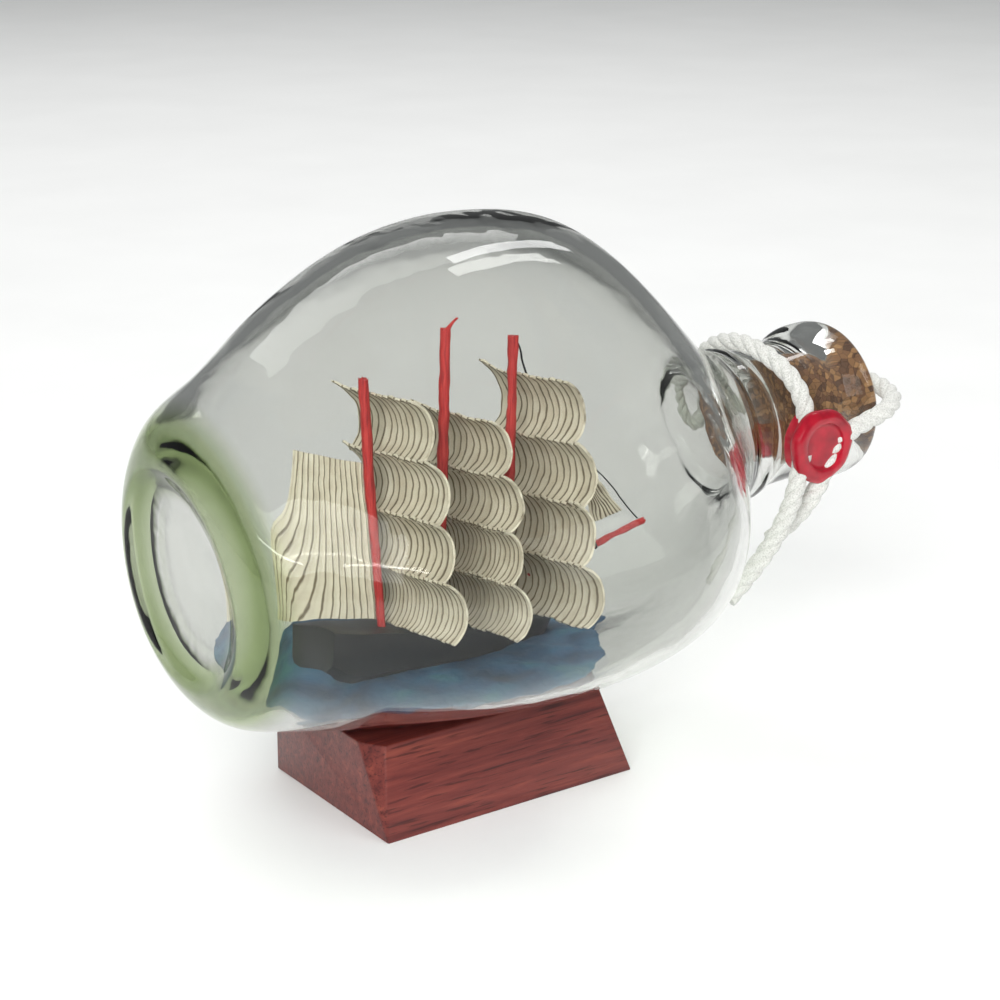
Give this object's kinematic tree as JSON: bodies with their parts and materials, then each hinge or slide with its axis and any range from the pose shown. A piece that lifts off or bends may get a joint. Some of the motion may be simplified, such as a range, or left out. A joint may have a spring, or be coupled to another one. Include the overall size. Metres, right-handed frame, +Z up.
{
  "type": "ship in a bottle",
  "caption": "Three-masted model ship on blue putty inside a pinched glass bottle with a corked, corded and wax-sealed neck, lying on a wooden stand.",
  "frame": {"origin": "centre of the stand's underside, on the table", "axes": "+X along the bottle toward the neck, -Y the front, +Z up"},
  "size_m": [0.1315, 0.0792, 0.0884],
  "materials": {
    "stained_wood": "dark red stain under satin lacquer",
    "bottle_glass": "clear glass with a green tint where it is thick",
    "cork": "agglomerated cork",
    "cotton_cord": "twisted three-strand cotton",
    "sealing_wax": "glossy red sealing wax",
    "blue_putty": "hand-pressed putty",
    "black_paint": "black painted wood",
    "red_paint": "red painted sticks",
    "striped_sail": "stiff cream sailcloth with thin brown stripes",
    "black_thread": "black sewing thread"
  },
  "bodies": {
    "stand": {"stand": "stained_wood"},
    "bottle": {"bottle": "bottle_glass", "cork": "cork", "neck_cord": "cotton_cord", "wax_seal": "sealing_wax", "sea": "blue_putty", "hull": "black_paint", "mizzen_mast": "red_paint", "main_mast": "red_paint", "fore_mast": "red_paint", "bowsprit": "red_paint", "mizzen_course": "striped_sail", "mizzen_topsail": "striped_sail", "mizzen_topgallant": "striped_sail", "mizzen_royal": "striped_sail", "main_course": "striped_sail", "main_topsail": "striped_sail", "main_topgallant": "striped_sail", "main_royal": "striped_sail", "fore_course": "striped_sail", "fore_topsail": "striped_sail", "fore_topgallant": "striped_sail", "fore_royal": "striped_sail", "spanker": "striped_sail", "jib": "striped_sail", "forestay": "black_thread", "bowsprit_lashing": "black_thread"}
  },
  "joints": [
    {"name": "bottle_lift", "type": "slide", "parent": "stand", "child": "bottle", "axis": [0, 0, 1], "range_m": [0, 0.04]}
  ]
}
